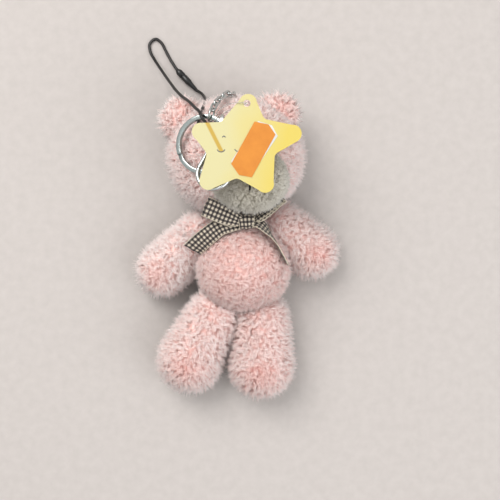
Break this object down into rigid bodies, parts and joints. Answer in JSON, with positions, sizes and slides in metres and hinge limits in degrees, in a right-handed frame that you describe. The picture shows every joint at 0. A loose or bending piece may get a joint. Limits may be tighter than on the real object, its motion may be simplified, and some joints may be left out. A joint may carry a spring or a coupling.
{
  "type": "plush keychain",
  "caption": "Plush teddy bear keychain lying on its back, with a ribbon bow, chain, split ring, snap clasp, star tag and hang cord.",
  "frame": {"origin": "centre of the bear's box without its cord, on the surface it lies on", "axes": "+Z out of the bear's front, +Y from its legs towards its head, +X towards its left arm as seen from the front (the viewer's right)"},
  "size_m": [0.0976, 0.1814, 0.0625],
  "materials": {
    "pink_fur": "matte",
    "muzzle_fur": "matte",
    "filling": "matte",
    "ribbon": "matte",
    "thread": "matte",
    "cord": "matte",
    "metal": "polished",
    "ring_metal": "polished",
    "black_plastic": "gloss",
    "lock_plastic": "satin",
    "washer_plastic": "satin",
    "clear_plastic": "gloss",
    "star_plastic": "gloss",
    "orange_paper": "matte",
    "white_paper": "matte"
  },
  "bodies": {
    "torso": {"torso_cover": "pink_fur", "torso_filling": "filling", "neck_ribbon": "ribbon", "bow_knot": "ribbon", "bow_loop_left": "ribbon", "bow_loop_right": "ribbon", "ribbon_tail_left": "ribbon", "ribbon_tail_right": "ribbon"},
    "head": {"head_cover": "pink_fur", "head_filling": "filling", "ear_left": "pink_fur", "ear_right": "pink_fur", "muzzle_cover": "muzzle_fur", "nose": "black_plastic", "mouth_stitch": "thread", "eye_left": "black_plastic", "eye_right": "black_plastic", "eye_washer_left": "washer_plastic", "eye_washer_right": "washer_plastic", "head_loop": "metal", "hang_cord": "cord", "cord_lock": "lock_plastic"},
    "arm_left": {"arm_cover_left": "pink_fur", "arm_filling_left": "filling"},
    "arm_right": {"arm_cover_right": "pink_fur", "arm_filling_right": "filling"},
    "leg_left": {"leg_cover_left": "pink_fur", "leg_filling_left": "filling"},
    "leg_right": {"leg_cover_right": "pink_fur", "leg_filling_right": "filling"},
    "chain_link_1": {"chain_link_1": "metal"},
    "chain_link_2": {"chain_link_2": "metal"},
    "chain_link_3": {"chain_link_3": "metal"},
    "chain_link_4": {"chain_link_4": "metal"},
    "chain_link_5": {"chain_link_5": "metal"},
    "chain_link_6": {"chain_link_6": "metal"},
    "split_ring": {"split_ring": "ring_metal", "tag_fastener": "clear_plastic"},
    "clasp_eye": {"clasp_eye": "metal"},
    "clasp_body": {"clasp_body": "metal", "clasp_pin": "metal", "clasp_spring": "metal"},
    "clasp_gate": {"clasp_gate": "metal"},
    "star_tag": {"star_tag": "star_plastic", "under_label": "white_paper", "price_label": "orange_paper"}
  },
  "joints": [
    {"name": "head_tilt", "type": "hinge", "parent": "torso", "child": "head", "pos_m": [0.003, 0.016, 0.0202], "axis": [0, 0, 1], "range_deg": [-3, 5]},
    {"name": "arm_left_swing", "type": "hinge", "parent": "torso", "child": "arm_left", "pos_m": [-0.0208, 0.0074, 0.0132], "axis": [0, 0, -1], "range_deg": [-5, 40]},
    {"name": "arm_right_swing", "type": "hinge", "parent": "torso", "child": "arm_right", "pos_m": [0.0229, 0.0126, 0.0132], "axis": [0, 0, 1], "range_deg": [0, 40]},
    {"name": "leg_left_swing", "type": "hinge", "parent": "torso", "child": "leg_left", "pos_m": [-0.013, -0.0376, 0.015], "axis": [0, 0, -1], "range_deg": [-5, 35]},
    {"name": "leg_right_swing", "type": "hinge", "parent": "torso", "child": "leg_right", "pos_m": [0.0128, -0.039, 0.015], "axis": [0, 0, 1], "range_deg": [-5, 35]},
    {"name": "chain_link_1_lift", "type": "hinge", "parent": "head", "child": "chain_link_1", "pos_m": [-0.0018, 0.0734, 0.0304], "axis": [-0.0948, 0.9955, 0], "range_deg": [0, 8], "deforming": ["hang_cord", "cord_lock"]},
    {"name": "chain_link_2_lift", "type": "hinge", "parent": "chain_link_1", "child": "chain_link_2", "pos_m": [-0.0039, 0.0732, 0.0343], "axis": [-0.6163, 0.7875, 0], "range_deg": [0, 12]},
    {"name": "chain_link_3_lift", "type": "hinge", "parent": "chain_link_2", "child": "chain_link_3", "pos_m": [-0.0062, 0.0714, 0.0379], "axis": [-0.7399, 0.6727, 0], "range_deg": [0, 12]},
    {"name": "chain_link_4_lift", "type": "hinge", "parent": "chain_link_3", "child": "chain_link_4", "pos_m": [-0.0082, 0.0692, 0.0416], "axis": [-0.837, 0.5472, 0], "range_deg": [0, 12]},
    {"name": "chain_link_5_lift", "type": "hinge", "parent": "chain_link_4", "child": "chain_link_5", "pos_m": [-0.0099, 0.0666, 0.0454], "axis": [-0.9514, 0.3078, 0], "range_deg": [0, 12]},
    {"name": "chain_link_6_lift", "type": "hinge", "parent": "chain_link_5", "child": "chain_link_6", "pos_m": [-0.011, 0.0632, 0.0487], "axis": [-0.9676, 0.2524, 0], "range_deg": [0, 12]},
    {"name": "ring_lift", "type": "hinge", "parent": "chain_link_6", "child": "split_ring", "pos_m": [-0.0122, 0.0586, 0.0482], "axis": [-0.9397, 0.342, 0], "range_deg": [0, 8]},
    {"name": "clasp_sway", "type": "hinge", "parent": "split_ring", "child": "clasp_eye", "pos_m": [-0.0064, 0.0563, 0.051], "axis": [-0.342, 0, 0.9397], "range_deg": [-18, 0]},
    {"name": "clasp_swivel", "type": "hinge", "parent": "clasp_eye", "child": "clasp_body", "pos_m": [-0.00731, 0.05055, 0.05245], "axis": [-0.1518, -0.9583, 0.2419], "range_deg": [0, 3]},
    {"name": "gate_open", "type": "hinge", "parent": "clasp_body", "child": "clasp_gate", "pos_m": [-0.00275, 0.04419, 0.05494], "axis": [0.1513, -0.2644, -0.9525], "range_deg": [0, 22], "stiffness_Nm_per_rad": 0.002, "springref_deg": -17.19},
    {"name": "tag_lift", "type": "hinge", "parent": "split_ring", "child": "star_tag", "pos_m": [0.005, 0.0643, 0.0611], "axis": [-1, 0, 0], "range_deg": [0, 30]}
  ]
}
